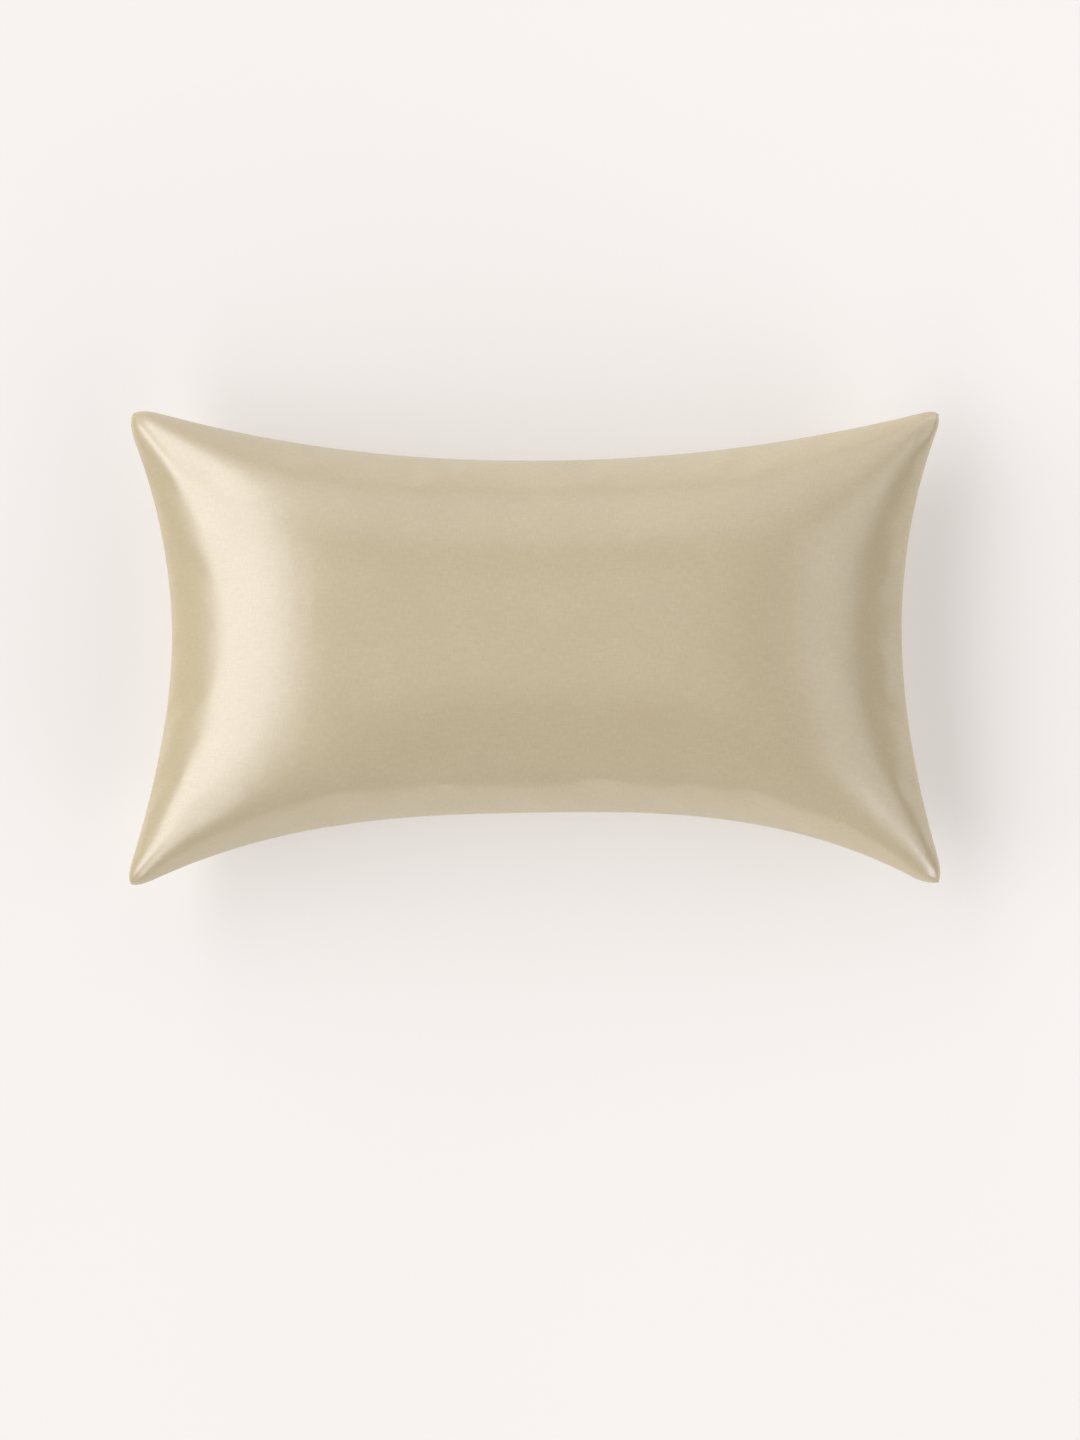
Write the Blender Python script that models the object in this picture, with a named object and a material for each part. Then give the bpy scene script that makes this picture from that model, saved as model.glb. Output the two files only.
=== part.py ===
"""A satin pillowcase on its bed pillow, lying on its back with the front face up.

The case is two panels of satin, sewn together along both long sides and across
the left end. At the right end the front panel rolls over onto the back and
tucks in. Filled, it is one soft body. The seam runs all round it at about half
height, drawn in between four soft tips. The front crowns up from the seam. The
back hangs below it and lies flat on the surface.

Frame: X runs along the length, Y across it, and Z up out of the front face.
The origin is on the surface, under the middle of the bounding box. Metres.
"""

import bmesh
import bpy
import numpy as np

NAME = "pillowcase"

# The four corners: where their two edges would meet if the tip were sharp, the
# height of the seam there, and how far from there the tip starts to round off.
#                   x        y       seam height  rounding
TIPS = {
    "bottom_left": (-0.3945, -0.2370, 0.063, 0.034),
    "bottom_right": (0.4000, -0.2390, 0.065, 0.043),
    "top_left": (-0.3975, 0.2370, 0.066, 0.044),
    "top_right": (0.3970, 0.2325, 0.062, 0.027),
}
EDGE_STEP = 0.02  # the share of an edge over which its direction at a tip is taken

# The four edges. Each is drawn in towards the middle by drawn_in. A bow of 2 is
# a parabola, and a larger one is flatter in its middle. The lean moves the
# deepest place towards the edge's start where it is above zero.
#                  drawn_in  bow    lean
EDGES = {
    "bottom": (0.0815, 2.8, -0.029),
    "top": (0.0555, 2.1, 0.012),
    "left": (0.0515, 1.9, -0.028),
    "right": (0.0455, 2.0, -0.028),
}

# Heights. The seam sags from its middle height to the tips. A side's roundness
# is the power of its fall from the middle to the seam: a larger one is flatter
# in its middle and steeper at the seam.
SEAM_HEIGHT = 0.075
SEAM_SAG_POWER = 4.0
FRONT_CROWN = 0.105
FRONT_ROUNDNESS = (4.2, 3.6)  # along the length, across it
BACK_DEPTH = 0.105  # how far the back would hang below the seam with no floor
BACK_ROUNDNESS = (7.0, 3.2)
FULLNESS = (0.86, 0.80)  # along, across: under 1 fills out the seam's edge
CORNER_FULLNESS = 0.6  # 0 multiplies the two falls, and more fills out the tips
FLOOR_EASE = 0.008  # the height over which the back bends into its flat patch

# Where the filling lies unevenly: low swells and hollows of the front.
#          x       y      radius  height
SWELLS = (
    (-0.210, 0.050, 0.110, 0.0022),
    (0.020, -0.060, 0.120, -0.0018),
    (0.230, 0.040, 0.100, 0.0018),
    (0.070, 0.090, 0.090, 0.0012),
)

# Folds that run from the tips into the faces. Each starts some way from its
# tip, runs in the direction of its heading (degrees from +X, seen from the
# front) and rises as a ridge, or sinks as a trough where its rise is negative.
#   face     tip             start  length  heading  half width  rise
FOLDS = (
    ("front", "top_left", 0.018, 0.120, -49, 0.010, 0.0022),
    ("front", "top_right", 0.016, 0.060, -133, 0.008, 0.0012),
    ("front", "bottom_left", 0.016, 0.100, 47, 0.010, 0.0015),
    ("front", "bottom_right", 0.016, 0.120, 118, 0.012, 0.0012),
    ("back", "top_left", 0.020, 0.080, -40, 0.011, 0.0026),
    ("back", "bottom_left", 0.020, 0.085, 36, 0.011, 0.0026),
    ("back", "bottom_right", 0.020, 0.080, 142, 0.011, 0.0026),
    ("back", "top_right", 0.020, 0.075, -142, 0.011, 0.0026),
)
FOLD_SPREAD = (0.6, 1.4)  # a fold's width at its start and its end, in half widths
FOLD_LIMIT = 0.33  # the share of a face's height over the seam that a fold may take

FACES_ALONG = 54
FACES_ACROSS = 36
EDGE_CROWDING = 0.6  # 0 spaces the rows evenly, 1 crowds them at the seam
WELD = 0.0001
NEARLY_ZERO = 1e-9
SHARP_ANGLE = 60  # degrees: a seam bent more than this is shaded as an edge


def bowed_edge(name, start, end, inward, along):
    """Points of an edge: the straight line between two tips, bowed inwards."""
    drawn_in, bow, lean = EDGES[name]
    depth = drawn_in * (1 - np.abs(2 * along - 1) ** bow)
    depth += lean * along * (1 - along) * (1 - 2 * along)
    start = np.array(TIPS[start][:2])
    end = np.array(TIPS[end][:2])
    straight = start + (end - start) * along[:, None]
    return straight + depth[:, None] * np.array(inward)


def flat_outline(across, up):
    """The plan of the case: the four bowed edges, filled by a Coons blend.

    across and up run from 0 to 1, left to right and bottom to top.
    """
    bottom = bowed_edge("bottom", "bottom_left", "bottom_right", (0, 1), across)
    top = bowed_edge("top", "top_left", "top_right", (0, -1), across)
    left = bowed_edge("left", "bottom_left", "top_left", (1, 0), up)
    right = bowed_edge("right", "bottom_right", "top_right", (-1, 0), up)
    s = across[:, None]
    t = up[:, None]
    corner_blend = 0
    for tip, weight in (
        ("bottom_left", (1 - s) * (1 - t)),
        ("bottom_right", s * (1 - t)),
        ("top_left", (1 - s) * t),
        ("top_right", s * t),
    ):
        corner_blend = corner_blend + weight * np.array(TIPS[tip][:2])
    return (1 - t) * bottom + t * top + (1 - s) * left + s * right - corner_blend


def round_tips(plan, across, up):
    """Round off the tips.

    Near a tip, each point moves inwards along both of its edges, by a quarter
    of the rounding times the square of how near it is.
    """
    length = TIPS["top_right"][0] - TIPS["top_left"][0]
    width = TIPS["top_left"][1] - TIPS["bottom_left"][1]
    rounded = plan.copy()
    for tip, (_, _, _, rounding) in TIPS.items():
        from_end = 1 - across if "right" in tip else across
        from_side = 1 - up if "top" in tip else up
        away = from_end * length + from_side * width
        near = np.clip(1 - away / rounding, 0, None)
        move = rounding * near**2 / 4
        rounded += move[:, None] * edge_directions(tip).sum(axis=0)
    return rounded


def edge_directions(tip):
    """The two unit directions in which a tip's edges leave it."""
    s = 1.0 if "right" in tip else 0.0
    t = 1.0 if "top" in tip else 0.0
    along = np.array([s, abs(s - EDGE_STEP), s])
    up = np.array([t, t, abs(t - EDGE_STEP)])
    points = flat_outline(along, up)
    steps = points[1:] - points[0]
    return steps / np.linalg.norm(steps, axis=1)[:, None]


def seam_height(across, up):
    """The seam's height: level between the tips, sagging towards each one."""
    u = np.abs(2 * across - 1)
    v = np.abs(2 * up - 1)
    near_tip = (u * v) ** SEAM_SAG_POWER
    tip_height = 0
    for tip, (_, _, height, _) in TIPS.items():
        end = across if "right" in tip else 1 - across
        side = up if "top" in tip else 1 - up
        tip_height = tip_height + end * side * height
    return SEAM_HEIGHT + (tip_height - SEAM_HEIGHT) * near_tip


def bulge(across, up, roundness):
    """How far a face stands off the seam: 0 at the seam, 1 in the middle.

    The falls along and across are a and b. Their product is divided by a sum of
    their powers, so that beside the seam the lower one decides, up to the tips.
    """
    a = (1 - np.abs(2 * across - 1) ** roundness[0]) ** FULLNESS[0]
    b = (1 - np.abs(2 * up - 1) ** roundness[1]) ** FULLNESS[1]
    k = CORNER_FULLNESS
    share = (a**k + b**k - (a * b) ** k) ** (1 / k)
    return a * b / np.maximum(share, NEARLY_ZERO)


def swells(plan):
    """The uneven filling: a sum of round, low humps and hollows."""
    total = np.zeros(len(plan))
    for x, y, radius, height in SWELLS:
        distance = np.hypot(plan[:, 0] - x, plan[:, 1] - y)
        total += height * np.exp(-((distance / radius) ** 2))
    return total


def folds(face, plan, cover):
    """The folds from the tips: round ridges that fade at both of their ends.

    cover is the face's height over the seam. A fold takes no more than a share
    of it, so that the two faces never meet.
    """
    total = np.zeros(len(plan))
    for side, tip, start, length, heading, half_width, rise in FOLDS:
        if side != face:
            continue
        angle = np.radians(heading)
        direction = np.array([np.cos(angle), np.sin(angle)])
        from_tip = plan - np.array(TIPS[tip][:2])
        along = (from_tip @ direction - start) / length
        off = from_tip @ np.array([-direction[1], direction[0]])
        fade = np.sin(np.pi * np.clip(along, 0, 1)) ** 2
        width = half_width * np.interp(along, (0, 1), FOLD_SPREAD)
        total += rise * fade * np.exp(-((off / width) ** 2))
    return np.clip(total, -cover * FOLD_LIMIT, cover * FOLD_LIMIT)


def rest_on_floor(height):
    """Flatten what would hang below the floor, with a soft bend into it."""
    eased = (height + FLOOR_EASE) ** 2 / (4 * FLOOR_EASE)
    bent = np.where(height < FLOOR_EASE, eased, height)
    return np.where(height < -FLOOR_EASE, 0.0, bent)


def front_face(across, up):
    """Points of the front: the crown over the seam, with swells and folds."""
    plan = round_tips(flat_outline(across, up), across, up)
    crown = bulge(across, up, FRONT_ROUNDNESS)
    height = seam_height(across, up) + FRONT_CROWN * crown
    height += swells(plan) * crown + folds("front", plan, FRONT_CROWN * crown)
    return np.column_stack([plan, height])


def back_face(across, up):
    """Points of the back: hanging from the seam, and flat where it rests."""
    plan = round_tips(flat_outline(across, up), across, up)
    hang = BACK_DEPTH * bulge(across, up, BACK_ROUNDNESS)
    height = seam_height(across, up) - hang - folds("back", plan, hang)
    return np.column_stack([plan, rest_on_floor(height)])


def face_grid(face):
    """A grid over one face, with its rows crowded towards the seam."""
    grid = bmesh.new()
    bmesh.ops.create_grid(grid, x_segments=FACES_ALONG, y_segments=FACES_ACROSS, size=1)
    flat = np.array([vertex.co[:2] for vertex in grid.verts])
    crowded = np.sin(flat * np.pi / 2)
    flat = EDGE_CROWDING * crowded + (1 - EDGE_CROWDING) * flat
    across, up = (flat.T + 1) / 2
    for vertex, point in zip(grid.verts, face(across, up)):
        vertex.co = point
    return grid


def pillowcase_mesh():
    """The front and the back, welded to each other at the seam."""
    mesh = bpy.data.meshes.new(NAME)
    body = face_grid(back_face)
    bmesh.ops.reverse_faces(body, faces=body.faces)
    body.to_mesh(mesh)
    body.free()
    body = face_grid(front_face)
    body.from_mesh(mesh)
    bmesh.ops.remove_doubles(body, verts=body.verts, dist=WELD)
    body.to_mesh(mesh)
    body.free()
    return mesh


def centre_on_floor(mesh):
    """Bring the middle of the bounding box over the origin."""
    points = np.array([vertex.co[:] for vertex in mesh.vertices])
    middle = (points.min(axis=0) + points.max(axis=0)) / 2
    for vertex in mesh.vertices:
        vertex.co.x -= middle[0]
        vertex.co.y -= middle[1]


def champagne_satin():
    """Champagne satin: a soft, bright gloss over a warm beige."""
    material = bpy.data.materials.new("champagne_satin")
    material.use_nodes = True
    shader = material.node_tree.nodes["Principled BSDF"]
    shader.inputs["Base Color"].default_value = (0.474, 0.397, 0.275, 1.0)
    shader.inputs["Roughness"].default_value = 0.38
    shader.inputs["Metallic"].default_value = 0.0
    material.diffuse_color = (0.474, 0.397, 0.275, 1.0)
    material.roughness = 0.38
    return material


def build():
    """Make the filled pillowcase, in a collection of its own."""
    for old in list(bpy.data.objects):
        bpy.data.objects.remove(old, do_unlink=True)
    collection = bpy.data.collections.new(NAME)
    bpy.context.scene.collection.children.link(collection)
    mesh = pillowcase_mesh()
    centre_on_floor(mesh)
    mesh.materials.append(champagne_satin())
    mesh.shade_smooth()
    mesh.set_sharp_from_angle(angle=np.radians(SHARP_ANGLE))
    collection.objects.link(bpy.data.objects.new(NAME, mesh))


build()
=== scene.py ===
"""A champagne satin pillowcase on its pillow, lying on its back.

The plain solid has the filled form. This script works the same form out finely
and makes it of cloth: two satin panels, blown up against each other by a cloth
simulation, with a sewn seam along both long sides and the left end, puckers
beside the seam, folds from the tips, and at the right end the tuck-in opening
with its stitched hem.
"""

import bmesh
import bpy
import numpy as np
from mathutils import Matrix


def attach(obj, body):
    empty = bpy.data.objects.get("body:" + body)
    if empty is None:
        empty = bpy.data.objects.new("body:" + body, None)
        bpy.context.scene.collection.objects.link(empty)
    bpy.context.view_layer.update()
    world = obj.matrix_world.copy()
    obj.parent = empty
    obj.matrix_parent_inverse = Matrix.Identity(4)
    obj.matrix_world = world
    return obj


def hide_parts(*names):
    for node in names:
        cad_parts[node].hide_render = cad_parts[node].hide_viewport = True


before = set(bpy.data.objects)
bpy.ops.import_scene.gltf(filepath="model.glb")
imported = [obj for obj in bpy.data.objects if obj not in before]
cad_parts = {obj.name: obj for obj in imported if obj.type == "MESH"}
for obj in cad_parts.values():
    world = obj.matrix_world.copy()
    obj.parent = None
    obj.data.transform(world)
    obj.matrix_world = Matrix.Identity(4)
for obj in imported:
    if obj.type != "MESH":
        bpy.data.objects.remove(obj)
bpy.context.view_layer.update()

MM = 0.001
NEARLY_ZERO = 1e-12
BODY = "root"

# ---------------------------------------------------------------- the form
# The four corners: where their two edges would meet if the tip were sharp, the
# height of the seam there, and how far from there the tip starts to round off.
TIPS = {
    "bottom_left": (-0.3945, -0.2370, 0.063, 0.034),
    "bottom_right": (0.4000, -0.2390, 0.065, 0.043),
    "top_left": (-0.3975, 0.2370, 0.066, 0.044),
    "top_right": (0.3970, 0.2325, 0.062, 0.027),
}
EDGE_STEP = 0.02  # how far along an edge its direction at the tip is taken

# How far each edge is drawn in, how flat its middle is, and how it leans.
EDGES = {
    "bottom": (0.0815, 2.8, -0.029),
    "top": (0.0555, 2.1, 0.012),
    "left": (0.0515, 1.9, -0.028),
    "right": (0.0455, 2.0, -0.028),
}
LENGTH = TIPS["top_right"][0] - TIPS["top_left"][0]
WIDTH = TIPS["top_left"][1] - TIPS["bottom_left"][1]

SEAM_HEIGHT = 75 * MM
SEAM_SAG_POWER = 4.0
FRONT_CROWN = 105 * MM
BACK_DEPTH = 105 * MM
FLOOR_EASE = 8 * MM

# The powers of the faces' curves, along and across.
FRONT_ROUNDNESS = (4.2, 3.6)
BACK_ROUNDNESS = (7.0, 3.2)
FULLNESS = (0.86, 0.80)
CORNER_FULLNESS = 0.6

# Where the filling lies unevenly: x, y, radius, height.
SWELLS = (
    (-0.210, 0.050, 0.110, 0.0022),
    (0.020, -0.060, 0.120, -0.0018),
    (0.230, 0.040, 0.100, 0.0018),
    (0.070, 0.090, 0.090, 0.0012),
)

# Folds from the tips: face, tip, start, length, heading in degrees, half
# width, and rise, which is below zero for a trough.
FOLDS = (
    ("front", "top_left", 0.018, 0.120, -49, 0.010, 0.0022),
    ("front", "top_right", 0.018, 0.042, -146, 0.004, 0.0010),
    ("front", "top_right", 0.016, 0.046, -133, 0.004, -0.0010),
    ("front", "top_right", 0.014, 0.040, -120, 0.004, 0.0007),
    ("front", "bottom_left", 0.016, 0.100, 47, 0.010, 0.0015),
    ("front", "bottom_right", 0.016, 0.120, 118, 0.012, 0.0012),
    ("back", "top_left", 0.020, 0.080, -40, 0.011, 0.0026),
    ("back", "bottom_left", 0.020, 0.085, 36, 0.011, 0.0026),
    ("back", "bottom_right", 0.020, 0.080, 142, 0.011, 0.0026),
    ("back", "top_right", 0.020, 0.075, -142, 0.011, 0.0026),
)
FOLD_SPREAD = (0.6, 1.4)  # the share of its half width at a fold's two ends
FOLD_LIMIT = 0.33  # of what the face stands off the seam


def bowed_edge(name, start, end, inward, along):
    """An edge: the straight line between two tips, bowed inwards by a power curve."""
    drawn_in, bow, lean = EDGES[name]
    depth = drawn_in * (1 - np.abs(2 * along - 1) ** bow)
    depth = depth + lean * along * (1 - along) * (1 - 2 * along)
    start = np.array(TIPS[start][:2])
    end = np.array(TIPS[end][:2])
    straight = start + (end - start) * along[..., None]
    return straight + depth[..., None] * np.array(inward)


def flat_outline(across, up):
    """The plan: a Coons blend of the four bowed edges, less their shared corners."""
    bottom = bowed_edge("bottom", "bottom_left", "bottom_right", (0, 1), across)
    top = bowed_edge("top", "top_left", "top_right", (0, -1), across)
    left = bowed_edge("left", "bottom_left", "top_left", (1, 0), up)
    right = bowed_edge("right", "bottom_right", "top_right", (-1, 0), up)
    s = across[..., None]
    t = up[..., None]
    shared = 0
    for tip, weight in (
        ("bottom_left", (1 - s) * (1 - t)),
        ("bottom_right", s * (1 - t)),
        ("top_left", (1 - s) * t),
        ("top_right", s * t),
    ):
        shared = shared + weight * np.array(TIPS[tip][:2])
    return (1 - t) * bottom + t * top + (1 - s) * left + s * right - shared


def edge_directions(tip):
    """The two unit directions in which a tip's edges leave it."""
    s = 1.0 if "right" in tip else 0.0
    t = 1.0 if "top" in tip else 0.0
    along = np.array([s, abs(s - EDGE_STEP), s])
    up = np.array([t, t, abs(t - EDGE_STEP)])
    points = flat_outline(along, up)
    steps = points[1:] - points[0]
    return steps / np.linalg.norm(steps, axis=1)[:, None]


def plan_points(across, up):
    """The plan with rounded tips.

    Near a tip, each point moves inwards along both edges, by a quarter of the
    rounding times the square of how near it is.
    """
    plan = flat_outline(across, up)
    for tip, (_, _, _, rounding) in TIPS.items():
        from_end = 1 - across if "right" in tip else across
        from_side = 1 - up if "top" in tip else up
        away = from_end * LENGTH + from_side * WIDTH
        near = np.clip(1 - away / rounding, 0, None)
        move = rounding * near**2 / 4
        plan = plan + move[..., None] * edge_directions(tip).sum(axis=0)
    return plan


def seam_height(across, up):
    """The seam's height: level between the tips, sagging to each by a power."""
    u = np.abs(2 * across - 1)
    v = np.abs(2 * up - 1)
    near_tip = (u * v) ** SEAM_SAG_POWER
    tip_height = 0
    for tip, (_, _, height, _) in TIPS.items():
        end = across if "right" in tip else 1 - across
        side = up if "top" in tip else 1 - up
        tip_height = tip_height + end * side * height
    return SEAM_HEIGHT + (tip_height - SEAM_HEIGHT) * near_tip


def bulge(across, up, roundness):
    """How far a face stands off the seam: 0 at the seam, 1 in the middle.

    The falls along and across, a and b, are power curves. Their product is
    divided by a sum of their powers, so that beside the seam the lower decides.
    """
    a = (1 - np.abs(2 * across - 1) ** roundness[0]) ** FULLNESS[0]
    b = (1 - np.abs(2 * up - 1) ** roundness[1]) ** FULLNESS[1]
    k = CORNER_FULLNESS
    share = (a**k + b**k - (a * b) ** k) ** (1 / k)
    return a * b / np.maximum(share, NEARLY_ZERO)


def swells(plan):
    """The uneven filling: a sum of round, low humps and hollows."""
    total = 0
    for x, y, radius, height in SWELLS:
        distance = np.hypot(plan[..., 0] - x, plan[..., 1] - y)
        total = total + height * np.exp(-((distance / radius) ** 2))
    return total


def folds(face, plan, cover):
    """The folds from the tips: bell-shaped ridges that fade at both of their ends."""
    total = 0
    for side, tip, start, length, heading, half_width, rise in FOLDS:
        if side != face:
            continue
        angle = np.radians(heading)
        direction = np.array([np.cos(angle), np.sin(angle)])
        from_tip = plan - np.array(TIPS[tip][:2])
        along = (from_tip @ direction - start) / length
        off = from_tip @ np.array([-direction[1], direction[0]])
        fade = np.sin(np.pi * np.clip(along, 0, 1)) ** 2
        width = half_width * np.interp(along, (0, 1), FOLD_SPREAD)
        total = total + rise * fade * np.exp(-((off / width) ** 2))
    return np.clip(total, -cover * FOLD_LIMIT, cover * FOLD_LIMIT)


def rest_on_floor(height):
    """Flatten what would hang below the floor, with a parabola's bend into it."""
    eased = (height + FLOOR_EASE) ** 2 / (4 * FLOOR_EASE)
    bent = np.where(height < FLOOR_EASE, eased, height)
    return np.where(height < -FLOOR_EASE, 0.0, bent)


def filled_form(across, up):
    """The front and the back of the filled form, as two grids of points."""
    plan = plan_points(across, up)
    seam = seam_height(across, up)
    crown = bulge(across, up, FRONT_ROUNDNESS)
    front = seam + FRONT_CROWN * crown + swells(plan) * crown
    front = front + folds("front", plan, FRONT_CROWN * crown)
    hang = BACK_DEPTH * bulge(across, up, BACK_ROUNDNESS)
    back = rest_on_floor(seam - hang - folds("back", plan, hang))
    plan = plan - (plan.min(axis=(0, 1)) + plan.max(axis=(0, 1))) / 2
    return (
        np.concatenate([plan, front[..., None]], axis=-1),
        np.concatenate([plan, back[..., None]], axis=-1),
    )


# ------------------------------------------------------------ grids to meshes
def grid_quads(ids):
    """The quads between a grid's points, turning left as seen from +Z."""
    corners = (ids[:-1, :-1], ids[1:, :-1], ids[1:, 1:], ids[:-1, 1:])
    return np.stack(corners, axis=-1).reshape(-1, 4)


def closed_body(front, back):
    """Points and quads of two grids that share their rim.

    Also returns, for each grid, the table of its point numbers.
    """
    columns, rows = front.shape[:2]
    front_ids = np.arange(columns * rows).reshape(columns, rows)
    back_ids = front_ids.copy()
    inside = back[1:-1, 1:-1]
    inside_ids = columns * rows + np.arange((columns - 2) * (rows - 2))
    back_ids[1:-1, 1:-1] = inside_ids.reshape(columns - 2, rows - 2)
    points = np.concatenate([front.reshape(-1, 3), inside.reshape(-1, 3)])
    quads = np.concatenate([grid_quads(front_ids), grid_quads(back_ids)[:, ::-1]])
    return points, quads, front_ids, back_ids


def mesh_object(name, points, faces):
    """A smooth-shaded mesh object from an array of points and a list of faces."""
    mesh = bpy.data.meshes.new(name)
    mesh.from_pydata(points.tolist(), [], faces)
    mesh.polygons.foreach_set("use_smooth", np.ones(len(faces), dtype=bool))
    mesh.update()
    piece = bpy.data.objects.new(name, mesh)
    bpy.context.scene.collection.objects.link(piece)
    return piece


def walked(points, axis):
    """The distance walked over a grid along one of its axes, from its start."""
    steps = np.linalg.norm(np.diff(points, axis=axis), axis=-1)
    start = np.zeros_like(np.take(steps, [0], axis=axis))
    return np.concatenate([start, np.cumsum(steps, axis=axis)], axis=axis)


def edge_distances(points):
    """How far each grid point is from the left, right, bottom and top edges."""
    across = walked(points, 0)
    up = walked(points, 1)
    return {
        "left": across,
        "right": across[-1:] - across,
        "bottom": up,
        "top": up[:, -1:] - up,
    }


def unit(vectors):
    """The vectors, each at length 1."""
    return vectors / (np.linalg.norm(vectors, axis=-1, keepdims=True) + NEARLY_ZERO)


def smooth_step(value, start, stop):
    """0 before start, 1 after stop, and a smooth S between them."""
    x = np.clip((value - start) / (stop - start), 0, 1)
    return x * x * (3 - 2 * x)


# -------------------------------------------------------- the cloth, blown up
# The simulation works on a coarser grid. Beside the seam the panels have a
# little more cloth than the form, as a seam that has drawn up leaves them.
SIM_COLUMNS = 131
SIM_ROWS = 77
SIM_CROWDING = 0.35
SIM_FRAMES = 24
SPARE_AT_SEAM = 0.006
SPARE_REACH = 75 * MM
WEIGHT_STEPS = 40
START_ROUGHNESS = 0.12 * MM
START_SEED = 5
SIMULATED_SATIN = {
    "quality": 6,
    "mass": 0.15,
    "air_damping": 2.0,
    "tension_stiffness": 40,
    "compression_stiffness": 40,
    "shear_stiffness": 10,
    "bending_stiffness": 22,
    "use_pressure": True,
    "uniform_pressure_force": 4.0,
    "vertex_group_mass": "held",
    "vertex_group_shrink": "taut",
    "shrink_min": -SPARE_AT_SEAM,
    "shrink_max": 0.0,
}

# How much of a simulated move is kept, and the most that a point may move.
WRINKLE_SHARE = 0.6
WRINKLE_CAP = 5 * MM
CURVE_SAMPLES = 2001  # of the crowding, which is read backwards


def crowded(even):
    """Rows from 0 to 1 that crowd towards both ends: a blend of a line and a sine."""
    x = 2 * even - 1
    return 0.5 + 0.5 * (SIM_CROWDING * np.sin(x * np.pi / 2) + (1 - SIM_CROWDING) * x)


def weight_group(piece, name, weights):
    """A vertex group with one weight a point, rounded to even steps."""
    group = piece.vertex_groups.new(name=name)
    steps = np.round(weights * WEIGHT_STEPS).astype(int)
    for step in range(WEIGHT_STEPS + 1):
        chosen = np.flatnonzero(steps == step)
        if len(chosen):
            group.add(chosen.tolist(), step / WEIGHT_STEPS, "REPLACE")


def simulated(points, quads, held, taut):
    """Where a cloth simulation with air pressed in takes a closed body's points."""
    balloon = mesh_object("blown_up_panels", points, quads.tolist())
    weight_group(balloon, "held", held.astype(float))
    weight_group(balloon, "taut", taut)
    modifier = balloon.modifiers.new("satin", "CLOTH")
    for name, value in SIMULATED_SATIN.items():
        setattr(modifier.settings, name, value)
    modifier.settings.effector_weights.gravity = 0
    modifier.collision_settings.use_collision = False
    modifier.point_cache.frame_start = 1
    modifier.point_cache.frame_end = SIM_FRAMES
    for step in range(1, SIM_FRAMES + 1):
        bpy.context.scene.frame_set(step)
    shaped = balloon.evaluated_get(bpy.context.evaluated_depsgraph_get()).to_mesh()
    after = np.empty(len(points) * 3)
    shaped.vertices.foreach_get("co", after)
    bpy.data.objects.remove(balloon)
    bpy.context.scene.frame_set(1)
    return after.reshape(-1, 3)


def blown_up(front, back):
    """How far two sewn panels move when they are blown up against each other.

    The seam and the flat patch that the floor carries are held where they are.
    A share of each point's move is kept, capped by a hyperbolic tangent.
    """
    points, quads, front_ids, back_ids = closed_body(front, back)
    rim = np.zeros(len(points), dtype=bool)
    rim[np.concatenate([front_ids[0], front_ids[-1], front_ids[:, 0], front_ids[:, -1]])] = True
    held = rim | (points[:, 2] <= 0)
    taut = np.zeros(len(points))
    for face, ids in ((front, front_ids), (back, back_ids)):
        from_seam = np.minimum.reduce(list(edge_distances(face).values()))
        taut[ids] = np.clip(from_seam / SPARE_REACH, 0, 1)
    unevenness = np.random.default_rng(START_SEED).normal(0, START_ROUGHNESS, len(points))
    start = points.copy()
    start[:, 2] += np.where(held, 0, unevenness)

    moved = (simulated(start, quads, held, taut) - points) * WRINKLE_SHARE
    size = np.linalg.norm(moved, axis=1, keepdims=True) + NEARLY_ZERO
    moved *= np.tanh(size / WRINKLE_CAP) * WRINKLE_CAP / size
    moved[rim] = 0
    return moved[front_ids], moved[back_ids]


def spline_weights(f):
    """The shares of four neighbours in a cubic B-spline, a fraction f past the second."""
    return (
        (1 - f) ** 3 / 6,
        (3 * f**3 - 6 * f**2 + 4) / 6,
        (-3 * f**3 + 3 * f**2 + 3 * f + 1) / 6,
        f**3 / 6,
    )


def read_between(grid, across, up):
    """A simulated grid read at any place, by a cubic B-spline in both directions."""
    padded = np.pad(grid, ((1, 1), (1, 1), (0, 0)), mode="reflect", reflect_type="odd")
    even = np.linspace(0, 1, CURVE_SAMPLES)
    column = np.interp(across, crowded(even), even) * (grid.shape[0] - 1)
    row = np.interp(up, crowded(even), even) * (grid.shape[1] - 1)
    first_column = np.clip(column.astype(int), 0, grid.shape[0] - 2)
    first_row = np.clip(row.astype(int), 0, grid.shape[1] - 2)
    total = 0
    for i, column_weight in enumerate(spline_weights(column - first_column)):
        for j, row_weight in enumerate(spline_weights(row - first_row)):
            value = padded[first_column + i, first_row + j]
            total = total + (column_weight * row_weight)[..., None] * value
    return total


# ------------------------------------------------------- the fine grid's rows
# Distances from the edges over the cloth. At the right end there are more rows,
# for the slit of the opening and for the hem beside it.
SEAM_ROWS = np.array([0, 0.5, 1.0, 1.6, 2.4, 3.6, 5.4, 7.9]) * MM
OPENING_ROWS = np.array([
    0, 0.8, 1.8, 3.0, 4.6, 6.6, 8.6, 10.2, 11.1, 11.5, 11.8, 12.1, 12.5, 13.2, 14.6, 17.0,
    20.0, 23.0, 25.8, 27.6, 28.4, 28.9, 29.4, 30.2, 31.4, 33.0, 35.2,
]) * MM
ROW_SPACING = 3.3 * MM
DENSE_COLUMNS = 801
DENSE_ROWS = 501
SETTLING_ROUNDS = 5


def rows_over(length, first, last, between):
    """Where the rows lie on a line of this length: set distances at both ends."""
    start = first[-1]
    stop = length - last[-1]
    even = start + (stop - start) * np.linspace(0, 1, between + 2)[1:-1]
    return np.concatenate([first, even, length - last[::-1]])


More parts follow.
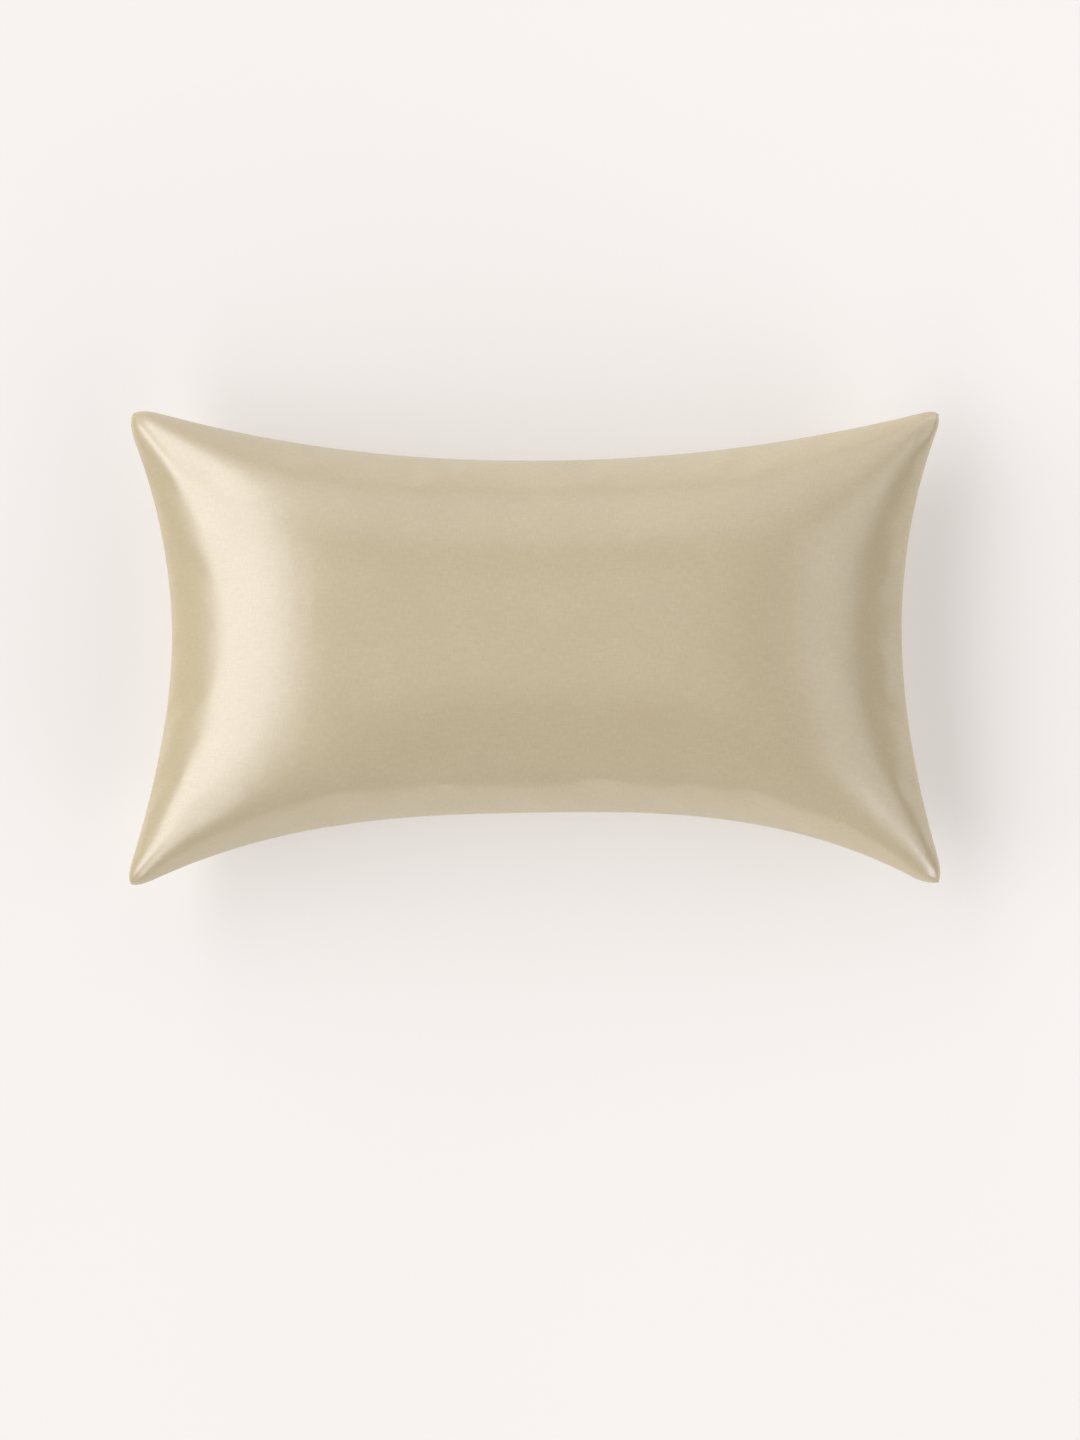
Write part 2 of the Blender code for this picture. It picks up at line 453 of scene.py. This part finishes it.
def rows_between(length, first, last):
    """How many even rows fit between the two sets at the ends."""
    return int(round((length - first[-1] - last[-1]) / ROW_SPACING)) - 1


def laid_rows(face, columns, rows):
    """Places (across, up) whose rows lie at set distances from the seam over the cloth.

    The columns and rows given are how many even ones lie between the sets beside
    the edges. Each line of a dense grid is measured, and the two directions are
    read in turn until they agree.
    """
    even_columns = 0.5 - 0.5 * np.cos(np.linspace(0, np.pi, DENSE_COLUMNS))
    even_rows = 0.5 - 0.5 * np.cos(np.linspace(0, np.pi, DENSE_ROWS))
    dense = filled_form(*np.meshgrid(even_columns, even_rows, indexing="ij"))[face]
    across_map = np.stack([
        np.interp(rows_over(walk[-1], SEAM_ROWS, OPENING_ROWS, columns), walk, even_columns)
        for walk in walked(dense, 0).T
    ], axis=1)
    up_map = np.stack([
        np.interp(rows_over(walk[-1], SEAM_ROWS, SEAM_ROWS, rows), walk, even_rows)
        for walk in walked(dense, 1)
    ], axis=1)
    across = np.repeat(across_map[:, [DENSE_ROWS // 2]], len(up_map), axis=1)
    up = np.repeat(up_map[:, [DENSE_COLUMNS // 2]].T, len(across_map), axis=0)
    for _ in range(SETTLING_ROUNDS):
        across = np.stack([np.interp(u, even_rows, line) for u, line in zip(up, across_map)])
        up = np.stack([np.interp(a, even_columns, line) for a, line in zip(across.T, up_map)]).T
    return across, up


# --------------------------------------------------------- the cloth's relief
# The seam's groove and the roll over the open end, each no deeper than a share
# of the body's thickness, which is taken a few rows in from the edge.
SEAM_GROOVE = 1.5 * MM
SEAM_GROOVE_WIDTH = 1.1 * MM
ROLL_REACH = 10 * MM
ROLL_DEPTH = 1.5 * MM
THICKNESS_SHARE = 0.3
THICKNESS_ROW = 4

# Puckers beside the sewn edges: spacing, half width, reach and depth, each
# drawn between its two limits.
PUCKER_SPACING = (13 * MM, 34 * MM)
PUCKER_HALF_WIDTH = (2.2 * MM, 4.8 * MM)
PUCKER_REACH = (3.5 * MM, 9.0 * MM)
PUCKER_DEPTH = {"front": (0.08 * MM, 0.34 * MM), "back": (0.15 * MM, 0.55 * MM)}
PUCKER_LEAN = (-0.35, 0.35)
RELIEF_SEED = 11

# The opening: how far the front panel rolls onto the back before it meets the
# hem's folded edge, and the hem's width and thickness.
HEM_EDGE = 11.8 * MM
HEM_WIDTH = 20 * MM
HEM_THICKNESS = 1.1 * MM

# The slit between the two: its least and most depth, the waves that set it, and
# their sum at either. Then where the dip, the hem's edge and the step past the
# hem start and stop, and how far from the side seams all this sets in.
SLIT_DEPTH = (0.7 * MM, 1.7 * MM)
SLIT_WAVES = 5
SLIT_WAVE_LENGTH = (40 * MM, 160 * MM)
SLIT_WAVE_SUM = (-3, 3)
SLIT_DIP = (HEM_EDGE - 6.0 * MM, HEM_EDGE - 0.2 * MM)
HEM_FACE = (HEM_EDGE - 0.3 * MM, HEM_EDGE + 0.5 * MM)
HEM_STEP = (HEM_EDGE + HEM_WIDTH - 1.5 * MM, HEM_EDGE + HEM_WIDTH + 2 * MM)
OPENING_SETS_IN = (0.5 * MM, 5 * MM)
STITCH_LINE = 28.9 * MM
STITCH_DIMPLE = 0.25 * MM
STITCH_DIMPLE_WIDTH = 0.9 * MM


def outward_normals(points, side):
    """The unit normals of a grid: the cross product of its two directions."""
    return unit(np.cross(np.gradient(points, axis=0), np.gradient(points, axis=1)) * side)


def rim_outward(rim):
    """The level directions that point out of the body along a rim of points."""
    tangent = np.gradient(rim, axis=0)
    return unit(np.stack([tangent[:, 1], -tangent[:, 0], np.zeros(len(rim))], axis=1))


def seam_groove(front, back, distances):
    """The sewn edges drawn in to a groove, a bell curve of the distance from them.

    The right end isn't sewn: there, one rolled panel turns over, and the move
    rounds it off by the square of how near its middle line is.
    """
    low = slice(THICKNESS_ROW, THICKNESS_ROW + 1)
    high = slice(-THICKNESS_ROW - 1, -THICKNESS_ROW)
    thickness = np.abs(front[..., 2] - back[..., 2])
    rims = {
        "bottom": (rim_outward(front[:, 0])[:, None], thickness[:, low]),
        "top": (-rim_outward(front[:, -1])[:, None], thickness[:, high]),
        "left": (-rim_outward(front[0])[None, :], thickness[low]),
        "right": (rim_outward(front[-1])[None, :], thickness[high]),
    }
    move = np.zeros_like(front)
    for edge, (outward, beside) in rims.items():
        distance = distances[edge]
        if edge == "right":
            depth, fall = ROLL_DEPTH, np.clip(1 - distance / ROLL_REACH, 0, None) ** 2
        else:
            depth, fall = SEAM_GROOVE, np.exp(-((distance / SEAM_GROOVE_WIDTH) ** 2))
        move -= (np.minimum(depth, THICKNESS_SHARE * beside) * fall)[..., None] * outward
    return move


def puckers(face, distances, random):
    """Small troughs that start at a sewn edge and lean a little.

    Across, each is a bell curve. Away from the seam it deepens up to its reach
    and then dies away, as the square of x times e to the power 1 - x.
    """
    relief = 0
    for edge in ("bottom", "top", "left"):
        away = distances[edge]
        along = distances["left"] if edge != "left" else distances["bottom"]
        length = along.max()
        place = random.uniform(*PUCKER_SPACING)
        while place < length:
            half_width = random.uniform(*PUCKER_HALF_WIDTH)
            reach = random.uniform(*PUCKER_REACH)
            depth = random.uniform(*PUCKER_DEPTH[face])
            lean = random.uniform(*PUCKER_LEAN)
            off = (along - place - lean * away) / half_width
            x = away / reach
            relief = relief - depth * np.exp(-(off**2)) * (x * np.exp(1 - x)) ** 2
            place += random.uniform(*PUCKER_SPACING)
    return relief


def opening_relief(distances, random):
    """The tuck-in opening on the back, as a height over the cloth.

    The rolled panel dips into the slit, as deep as a sum of sines says. The
    hem's folded edge stands beside it, level over the hem's width, with a
    dimple along its stitches, and it ends in a soft step to the single cloth.
    """
    away = distances["right"]
    along = distances["bottom"]
    seams = np.minimum(distances["bottom"], distances["top"])
    waves = 0
    for _ in range(SLIT_WAVES):
        wave_length = random.uniform(*SLIT_WAVE_LENGTH)
        waves = waves + np.sin(2 * np.pi * along / wave_length + random.uniform(0, 2 * np.pi))
    mouth = np.interp(waves, SLIT_WAVE_SUM, SLIT_DEPTH)
    dip = smooth_step(away, *SLIT_DIP)
    over_hem = smooth_step(away, *HEM_FACE)
    past_hem = smooth_step(away, *HEM_STEP)
    dimple = np.exp(-(((away - STITCH_LINE) / STITCH_DIMPLE_WIDTH) ** 2))
    hem = HEM_THICKNESS * (1 - past_hem) - STITCH_DIMPLE * dimple
    relief = -mouth * dip * (1 - over_hem) + hem * over_hem
    return relief * smooth_step(seams, *OPENING_SETS_IN)


def simulated_form():
    """The form's two faces on the coarse grid, and how far the simulation moves them."""
    coarse = filled_form(*np.meshgrid(
        crowded(np.linspace(0, 1, SIM_COLUMNS)),
        crowded(np.linspace(0, 1, SIM_ROWS)),
        indexing="ij",
    ))
    moved = blown_up(*coarse)
    return coarse, moved


def satin_cloth():
    """The case as one closed body, with the cloth's own measure as its UV map.

    Returns the piece and the back's grid of points, which carries the stitches.
    """
    coarse, moved = simulated_form()
    columns = rows_between(walked(coarse[0][:, 0], 0)[-1], SEAM_ROWS, OPENING_ROWS)
    rows = rows_between(walked(coarse[0][0], 0)[-1], SEAM_ROWS, SEAM_ROWS)
    shapes = []
    for face in (0, 1):
        across, up = laid_rows(face, columns, rows)
        shapes.append(filled_form(across, up)[face] + read_between(moved[face], across, up))
    shapes[1][[0, -1]] = shapes[0][[0, -1]]
    shapes[1][:, [0, -1]] = shapes[0][:, [0, -1]]

    random = np.random.default_rng(RELIEF_SEED)
    finished = []
    for name, shape, side in (("front", shapes[0], 1), ("back", shapes[1], -1)):
        distances = edge_distances(shape)
        relief = puckers(name, distances, random)
        if name == "back":
            relief = relief + opening_relief(distances, random)
        moved_in = seam_groove(shapes[0], shapes[1], distances)
        finished.append(shape + moved_in + relief[..., None] * outward_normals(shape, side))
    front, back = finished
    back[..., 2] = np.maximum(back[..., 2], 0)

    points, quads, _, _ = closed_body(front, back)
    piece = mesh_object("satin_case", points, quads.tolist())
    measure_cloth(piece, front, back)
    return piece, back


def measure_cloth(piece, front, back):
    """The UV map "cloth": metres over the cloth, so that the weave keeps its scale."""
    corners = []
    for shape, turn in ((front, 1), (back, -1)):
        across = walked(shape, 0)
        up = walked(shape, 1)
        across = across - across[[len(across) // 2]]
        up = up - up[:, [up.shape[1] // 2]]
        measure = np.stack([across, up], axis=-1).reshape(-1, 2)
        ids = np.arange(len(measure)).reshape(shape.shape[:2])
        corners.append(measure[grid_quads(ids)[:, ::turn]].reshape(-1, 2))
    layer = piece.data.uv_layers.new(name="cloth")
    layer.data.foreach_set("uv", np.concatenate(corners).ravel())


# ----------------------------------------------------------- the hem's stitches
STITCH_PITCH = 3.1 * MM
STITCH_LENGTH = 2.7 * MM
THREAD_RADIUS = 0.24 * MM
THREAD_THINNEST = 0.25  # of its radius, where it dives in
STITCH_SINK = 0.06 * MM
STITCH_DIVE = 1.2  # radii that its ends lie below the cloth
STITCH_SIDES = 8
STITCH_RINGS = 7
SEAM_CLEARANCE = 3 * MM


def on_stitch_line(grid, from_end):
    """A grid's values on the stitch line: one reading on each of its rows."""
    return np.array([
        [np.interp(STITCH_LINE, distance[::-1], axis[::-1]) for axis in row.T]
        for row, distance in zip(grid.transpose(1, 0, 2), from_end.T)
    ])


def hem_stitches(back):
    """One row of lockstitches along the hem, each a thread that dives in at its ends.

    A stitch is a tube whose radius and height follow the root of half a sine.
    """
    from_end = edge_distances(back)["right"]
    line = on_stitch_line(back, from_end)
    line_normals = on_stitch_line(outward_normals(back, -1), from_end)
    walk = walked(line[:, None], 0)[:, 0]
    starts = np.arange(SEAM_CLEARANCE, walk[-1] - SEAM_CLEARANCE - STITCH_LENGTH, STITCH_PITCH)

    share = np.linspace(0, 1, STITCH_RINGS)
    turn = np.linspace(0, 2 * np.pi, STITCH_SIDES, endpoint=False)
    places = starts[:, None] + share * STITCH_LENGTH
    centre = np.stack([np.interp(places, walk, axis) for axis in line.T], axis=-1)
    up = unit(np.stack([np.interp(places, walk, axis) for axis in line_normals.T], axis=-1))
    side = np.cross(unit(np.gradient(centre, axis=1)), up)
    swell = np.sin(np.pi * share) ** 0.5
    radius = THREAD_RADIUS * np.clip(swell, THREAD_THINNEST, 1)
    lift = THREAD_RADIUS * (2 * swell - STITCH_DIVE) - STITCH_SINK
    centre = centre + lift[:, None] * up
    ring = np.cos(turn)[:, None] * side[:, :, None] + np.sin(turn)[:, None] * up[:, :, None]
    tubes = centre[:, :, None] + radius[:, None, None] * ring

    ids = np.arange(STITCH_RINGS * STITCH_SIDES).reshape(STITCH_RINGS, STITCH_SIDES)
    each = (ids.size * np.arange(len(starts)))[:, None, None]
    walls = each + grid_quads(np.concatenate([ids, ids[:, :1]], axis=1))
    caps = each + np.stack([ids[0], ids[-1][::-1]])
    faces = walls.reshape(-1, 4).tolist() + caps.reshape(-1, STITCH_SIDES).tolist()
    piece = mesh_object("hem_stitches", tubes.reshape(-1, 3), faces)
    turned = bmesh.new()
    turned.from_mesh(piece.data)
    bmesh.ops.recalc_face_normals(turned, faces=turned.faces)
    turned.to_mesh(piece.data)
    turned.free()
    return piece


# ------------------------------------------------------------------ materials
def linear(hex_colour):
    """An sRGB hex colour as a linear RGBA tuple."""
    values = [int(hex_colour[i:i + 2], 16) / 255 for i in (0, 2, 4)]
    return (*[v / 12.92 if v <= 0.04045 else ((v + 0.055) / 1.055) ** 2.4 for v in values], 1.0)


def add(tree, kind, links=None, values=None, **settings):
    """Add a node: its settings, its own values, and the sockets that feed it."""
    made = tree.nodes.new(kind)
    for name, value in settings.items():
        setattr(made, name, value)
    for name, value in (values or {}).items():
        made.inputs[name].default_value = value
    for name, socket in (links or {}).items():
        tree.links.new(socket, made.inputs[name])
    return made


def new_material(name):
    """An empty node material, its tree and its Principled shader."""
    material = bpy.data.materials.new(name)
    material.use_nodes = True
    tree = material.node_tree
    return material, tree, tree.nodes["Principled BSDF"]


# The satin's patterns: their size in both directions of the cloth, their detail
# and their roughness. Real satin has about 10 threads a millimetre. Its floats
# and slubs are drawn coarser, so that they show as a faint grain and not as
# noise. The clouds are the slow changes of tone that pressing leaves.
SATIN_PATTERNS = {
    "floats": (1.3 * MM, 7 * MM, 3.0, 0.6),
    "slubs": (16 * MM, 1.3 * MM, 2.0, 0.5),
    "clouds": (60 * MM, 60 * MM, 2.0, 0.5),
}
SLUB_SHARE = 0.4
CLOUD_SHARE = 0.2
SATIN_TONES = ((0.30, "B0A381"), (0.70, "BCAF8D"))
SATIN_ROUGHNESS = (0.28, 0.22)
GRAIN_RELIEF = 0.15 * MM


def champagne_satin():
    """Polyester satin: filament yarn woven in long floats, and pressed.

    The floats lie side by side like fine glass rods, so the cloth has a soft,
    broad and bright gloss, with a faint grain. Its reflection is set at twice
    that of a plain plastic, to match.
    """
    material, tree, shader = new_material("champagne_satin")
    cloth = add(tree, "ShaderNodeUVMap", uv_map="cloth").outputs["UV"]
    patterns = {}
    for name, (width, length, detail, roughness) in SATIN_PATTERNS.items():
        scaled = add(
            tree, "ShaderNodeMapping", {"Vector": cloth},
            {"Scale": (1 / width, 1 / length, 1.0)},
        )
        patterns[name] = add(
            tree, "ShaderNodeTexNoise", {"Vector": scaled.outputs["Vector"]},
            {"Scale": 1.0, "Detail": detail, "Roughness": roughness}, noise_dimensions="2D",
        ).outputs["Fac"]
    grain = add(
        tree, "ShaderNodeMix", {"A": patterns["floats"], "B": patterns["slubs"]},
        {"Factor": SLUB_SHARE},
    ).outputs["Result"]
    tone = add(
        tree, "ShaderNodeMix", {"A": grain, "B": patterns["clouds"]}, {"Factor": CLOUD_SHARE},
    ).outputs["Result"]
    colour = add(tree, "ShaderNodeValToRGB", {"Fac": tone})
    for stop, (place, hex_colour) in zip(colour.color_ramp.elements, SATIN_TONES):
        stop.position = place
        stop.color = linear(hex_colour)
    gloss = add(tree, "ShaderNodeMapRange", {"Value": tone}, {
        "From Min": SATIN_TONES[0][0], "From Max": SATIN_TONES[1][0],
        "To Min": SATIN_ROUGHNESS[0], "To Max": SATIN_ROUGHNESS[1],
    })
    relief = add(
        tree, "ShaderNodeBump", {"Height": grain}, {"Strength": 0.5, "Distance": GRAIN_RELIEF},
    )
    tree.links.new(colour.outputs["Color"], shader.inputs["Base Color"])
    tree.links.new(gloss.outputs["Result"], shader.inputs["Roughness"])
    tree.links.new(relief.outputs["Normal"], shader.inputs["Normal"])
    shader.inputs["IOR"].default_value = 1.5
    shader.inputs["Specular IOR Level"].default_value = 1.0
    return material


THREAD_PLY = 0.5 * MM
THREAD_SLANT = 0.6  # radians
THREAD_TONES = ("B8A780", "D2C4A2")


def sewing_thread():
    """Spun polyester thread in the cloth's colour: two plies, and a duller gloss."""
    material, tree, shader = new_material("sewing_thread")
    place = add(tree, "ShaderNodeTexCoord").outputs["Object"]
    scaled = add(tree, "ShaderNodeMapping", {"Vector": place}, {
        "Scale": (1 / THREAD_PLY, 1 / THREAD_PLY, 1 / THREAD_PLY),
        "Rotation": (0.0, 0.0, THREAD_SLANT),
    })
    plies = add(
        tree, "ShaderNodeTexNoise", {"Vector": scaled.outputs["Vector"]},
        {"Scale": 1.0, "Detail": 2.0},
    )
    colour = add(tree, "ShaderNodeValToRGB", {"Fac": plies.outputs["Fac"]})
    for stop, hex_colour in zip(colour.color_ramp.elements, THREAD_TONES):
        stop.color = linear(hex_colour)
    tree.links.new(colour.outputs["Color"], shader.inputs["Base Color"])
    shader.inputs["Roughness"].default_value = 0.55
    return material


FLOOR_PATCHES = 1.4  # to a metre
FLOOR_TONES = ("B2B0A9", "B7B4AE")
FLOOR_GLOW = 0.4
FLOOR_GLOW_COLOUR = "FBF6F1"


def studio_floor():
    """A light table: a pale, matt board that glows a little, so shadows stay soft."""
    material, tree, shader = new_material("studio_floor")
    place = add(tree, "ShaderNodeTexCoord").outputs["Object"]
    patches = add(
        tree, "ShaderNodeTexNoise", {"Vector": place}, {"Scale": FLOOR_PATCHES, "Detail": 1.0},
    )
    colour = add(tree, "ShaderNodeValToRGB", {"Fac": patches.outputs["Fac"]})
    for stop, hex_colour in zip(colour.color_ramp.elements, FLOOR_TONES):
        stop.color = linear(hex_colour)
    tree.links.new(colour.outputs["Color"], shader.inputs["Base Color"])
    shader.inputs["Roughness"].default_value = 0.9
    shader.inputs["Specular IOR Level"].default_value = 0.1
    shader.inputs["Emission Color"].default_value = linear(FLOOR_GLOW_COLOUR)
    shader.inputs["Emission Strength"].default_value = FLOOR_GLOW
    return material


# ---------------------------------------------------------------- the picture
# The photograph's frame in its own pixels, the middle of the case in it, and
# the size of a pixel at the height of the seam.
FRAME_WIDTH = 1080
FRAME_HEIGHT = 1440
CASE_MIDDLE = (535.0, 648.0)
PIXEL = 0.952 * MM
LENS = 81.0
SENSOR = 36.0
FARTHEST = 40  # metres, that the camera sees
FLOOR_LEFT = -0.535
FLOOR_RIGHT = 0.76
FLOOR_HALF_DEPTH = 0.80
FLOOR_GAP = 0.3 * MM


def camera():
    """The camera, straight above, where it sees the case at the photograph's size."""
    data = bpy.data.cameras.new("camera")
    data.lens = LENS
    data.sensor_width = SENSOR
    data.clip_end = FARTHEST
    made = bpy.data.objects.new("camera", data)
    made.location = (
        (FRAME_WIDTH / 2 - CASE_MIDDLE[0]) * PIXEL,
        (CASE_MIDDLE[1] - FRAME_HEIGHT / 2) * PIXEL,
        SEAM_HEIGHT + LENS / SENSOR * FRAME_HEIGHT * PIXEL,
    )
    bpy.context.scene.collection.objects.link(made)
    bpy.context.scene.camera = made


def floor():
    """A level board just under the case.

    It reaches past the picture on all sides, and least at the left. Past it lies
    the dark room, which the steep sides of the case mirror as a darker band.
    """
    points = np.array([
        (FLOOR_LEFT, -FLOOR_HALF_DEPTH, -FLOOR_GAP),
        (FLOOR_RIGHT, -FLOOR_HALF_DEPTH, -FLOOR_GAP),
        (FLOOR_RIGHT, FLOOR_HALF_DEPTH, -FLOOR_GAP),
        (FLOOR_LEFT, FLOOR_HALF_DEPTH, -FLOOR_GAP),
    ])
    board = mesh_object("studio_floor", points, [[0, 1, 2, 3]])
    board.data.materials.append(studio_floor())


# The soft boxes, as directions from the case: the side that each stands towards,
# its lean from straight up, its half width, its soft edges towards the top and
# towards the horizon (all in degrees), where it starts and ends beside that, as
# the sine of the angle, and its brightness. All fade at both ends by the same.
SOFT_BOXES = (
    ("-X", 65, 17, 28, 8, -0.35, 0.35, 4.2),
    ("-X", 46, 8, 20, 10, -0.92, -0.35, 3.2),
    ("-X", 47, 5, 16, 12, 0.35, 0.92, 4.1),
    ("+X", 58, 8, 20, 16, -0.92, -0.35, 2.1),
    ("+X", 70, 6, 16, 20, -0.92, -0.35, 3.3),
    ("+X", 60, 8, 20, 20, -0.35, 0.35, 1.4),
    ("+X", 84, 8, 20, 12, 0.35, 0.92, 2.1),
    ("+Y", 72, 10, 40, 34, -0.92, 0.70, 0.97),
    ("+Y", 30, 14, 20, 20, -0.70, 0.70, 0.22),
    ("-Y", 84, 6, 30, 26, -0.70, 0.70, 0.16),
    ("+X", 0, 9, 14, 14, -0.25, 0.25, 0.50),
)
BOX_END = 0.12
SURROUND = 0.02
LIGHT_COLOUR = "F9F7FF"
BACKDROP = "F4F0EE"


def box_brightness(tree, direction, box):
    """The nodes that make one soft box: its brightness in each direction.

    It is a product of four smooth steps: two of the angle from straight up
    towards the box's side, and two of how far the direction lies beside that.
    """
    side, lean, half_width, top_edge, horizon_edge, start, end, brightness = box
    beside = direction["Y" if side[1] == "X" else "X"]
    sign = -1.0 if side[0] == "-" else 1.0
    towards = add(
        tree, "ShaderNodeMath", {0: direction[side[1]]}, {1: sign}, operation="MULTIPLY",
    ).outputs[0]
    angle = add(
        tree, "ShaderNodeMath", {0: towards, 1: direction["Z"]}, operation="ARCTAN2",
    ).outputs[0]
    near, far = np.radians((lean - half_width, lean + half_width))
    before, past = np.radians((top_edge, horizon_edge))
    lit = None
    for value, from_min, from_max, to_min, to_max in (
        (angle, near - before, near, 0.0, brightness),
        (angle, far, far + past, 1.0, 0.0),
        (beside, start - BOX_END, start + BOX_END, 0.0, 1.0),
        (beside, end - BOX_END, end + BOX_END, 1.0, 0.0),
    ):
        limits = {"From Min": from_min, "From Max": from_max, "To Min": to_min, "To Max": to_max}
        step = add(
            tree, "ShaderNodeMapRange", {"Value": value}, limits, interpolation_type="SMOOTHSTEP",
        ).outputs["Result"]
        if lit is not None:
            step = add(tree, "ShaderNodeMath", {0: lit, 1: step}, operation="MULTIPLY").outputs[0]
        lit = step
    return lit


def studio_light():
    """The studio as a sky: a dark room with long soft boxes.

    The first sum takes in the room's own faint light, and each later one takes
    in the sum so far. What the camera sees past the floor is a plain backdrop.
    """
    world = bpy.data.worlds.new("studio")
    bpy.context.scene.world = world
    world.use_nodes = True
    tree = world.node_tree
    background = tree.nodes["Background"]
    seen_from = add(tree, "ShaderNodeTexCoord").outputs["Generated"]
    direction = add(tree, "ShaderNodeSeparateXYZ", {"Vector": seen_from}).outputs
    total = None
    for box in SOFT_BOXES:
        links = {0: box_brightness(tree, direction, box)}
        if total is not None:
            links[1] = total
        total = add(tree, "ShaderNodeMath", links, {1: SURROUND}, operation="ADD").outputs[0]
    tree.links.new(total, background.inputs["Strength"])
    background.inputs["Color"].default_value = linear(LIGHT_COLOUR)
    backdrop = add(
        tree, "ShaderNodeBackground", values={"Color": linear(BACKDROP), "Strength": 1.0},
    )
    seen = add(tree, "ShaderNodeLightPath").outputs["Is Camera Ray"]
    mix = add(tree, "ShaderNodeMixShader", {
        0: seen, 1: background.outputs["Background"], 2: backdrop.outputs["Background"],
    })
    output = next(node for node in tree.nodes if node.type == "OUTPUT_WORLD")
    tree.links.new(mix.outputs[0], output.inputs["Surface"])


# ------------------------------------------------------------------ the piece
def dress():
    """The case and its stitches, in place of the plain solid."""
    case, back = satin_cloth()
    case.data.materials.append(champagne_satin())
    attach(case, BODY)
    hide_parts("pillowcase")
    stitches = hem_stitches(back)
    stitches.data.materials.append(sewing_thread())
    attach(stitches, BODY)


bpy.context.scene.view_settings.view_transform = "Standard"
camera()
floor()
studio_light()
dress()
